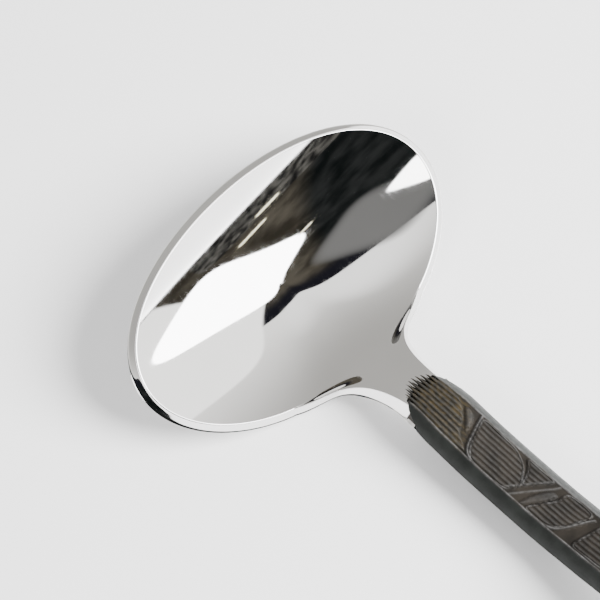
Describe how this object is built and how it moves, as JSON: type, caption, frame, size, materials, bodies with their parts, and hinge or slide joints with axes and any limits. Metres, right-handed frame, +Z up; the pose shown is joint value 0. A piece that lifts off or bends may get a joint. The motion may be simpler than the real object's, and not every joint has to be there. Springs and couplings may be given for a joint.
{
  "type": "sauce ladle",
  "caption": "Sauce ladle with a wide oval bowl set across a short neck and an arched, hollow leaf-relief handle, lying on its bowl and handle end.",
  "frame": {"origin": "on the table, under the middle of the ladle's length and width, as it lies at rest", "axes": "+X along the handle towards its free end, +Y across the ladle, +Z up from the table"},
  "size_m": [0.1852, 0.0788, 0.0203],
  "materials": {
    "polished_steel": "mirror-polished steel",
    "plain_steel": "plain steel, out of sight",
    "blackened_relief": "blackened metal, high edges worn bright",
    "blackened_smooth": "smooth blackened metal",
    "cement": "set cement, out of sight"
  },
  "bodies": {
    "root": {"bowl": "polished_steel", "tang": "plain_steel", "handle_front_shell": "blackened_relief", "handle_back_shell": "blackened_smooth", "handle_filler": "cement"}
  },
  "joints": []
}
